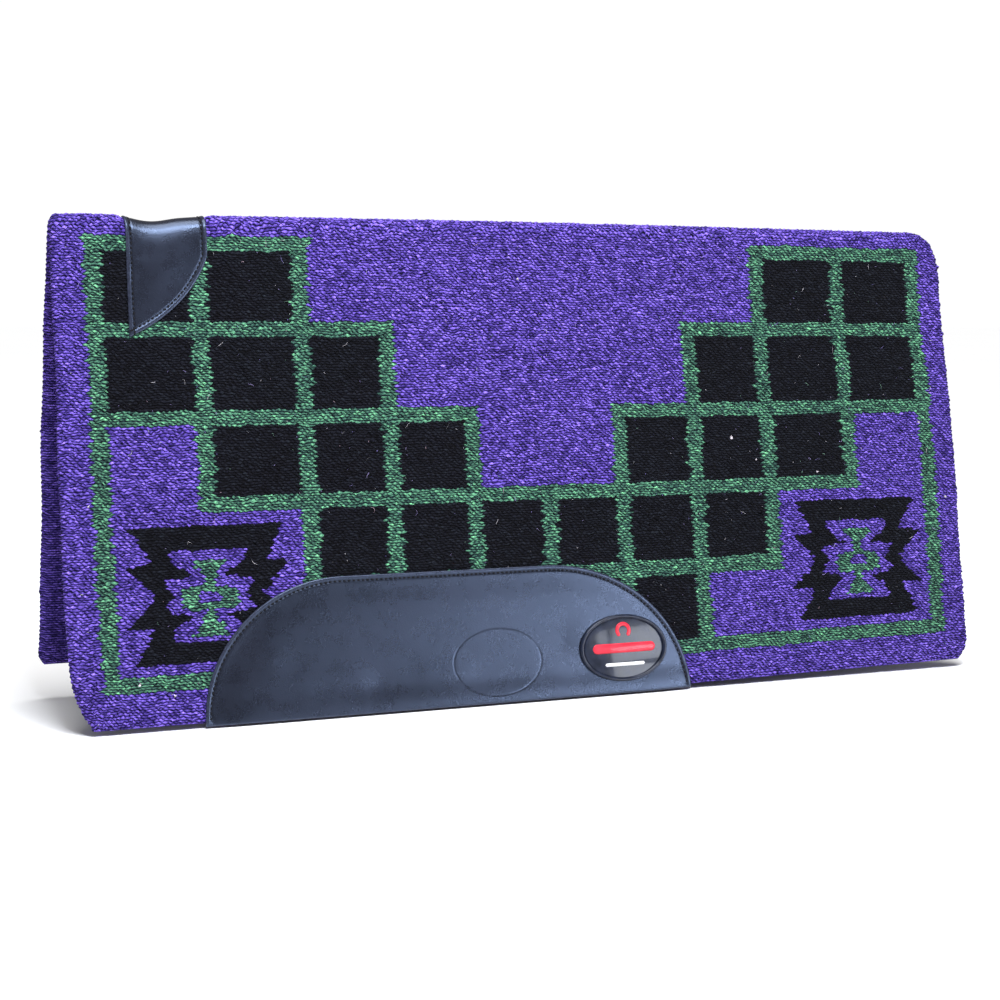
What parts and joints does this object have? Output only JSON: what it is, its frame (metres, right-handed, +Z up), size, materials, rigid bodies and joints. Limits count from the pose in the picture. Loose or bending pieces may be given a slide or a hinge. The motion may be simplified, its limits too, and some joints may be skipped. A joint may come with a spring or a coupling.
{
  "type": "saddle pad",
  "caption": "Folded woven wool western saddle blanket with wear leathers, a wither leather over the fold and an oval badge; both flaps hinge at the fold.",
  "frame": {"origin": "underside of the fold at mid-length, where the pad hangs on a rail or a horse's back", "axes": "+X along the spine from the wither end to the rear, +Y towards the far flap, +Z up"},
  "size_m": [0.9144, 0.1798, 0.446],
  "materials": {
    "wool_weave": "coarse weft-faced wool weave, purple with a green lattice, black squares and two stepped motifs",
    "leather": "smooth dark slate leather, semi-matt, creased along the stitch line",
    "thread": "waxed black thread",
    "badge_black": "glossy black with a domed face",
    "badge_red": "glossy red",
    "badge_white": "glossy white"
  },
  "bodies": {
    "fold": {"spine_fold": "wool_weave", "wither_leather_crest": "leather", "wither_stitching_crest_front": "thread", "wither_stitching_crest_rear": "thread"},
    "near_side": {"near_flap": "wool_weave", "near_wear_leather": "leather", "near_wear_stitching": "thread", "wither_leather_near_tab": "leather", "wither_stitching_near": "thread", "badge_rim": "badge_black", "badge_face": "badge_black", "badge_horseshoe": "badge_red", "badge_stripe": "badge_red", "badge_bar": "badge_white"},
    "far_side": {"far_flap": "wool_weave", "far_wear_leather": "leather", "far_wear_stitching": "thread", "wither_leather_far_tab": "leather", "wither_stitching_far": "thread"}
  },
  "joints": [
    {"name": "near_flap_fold", "type": "hinge", "parent": "fold", "child": "near_side", "pos_m": [0, -0.01273, 0.00873], "axis": [-1, 0, 0], "range_deg": [0, 80.9]},
    {"name": "far_flap_fold", "type": "hinge", "parent": "fold", "child": "far_side", "pos_m": [0, 0.01273, 0.00873], "axis": [1, 0, 0], "range_deg": [0, 79.4]}
  ]
}
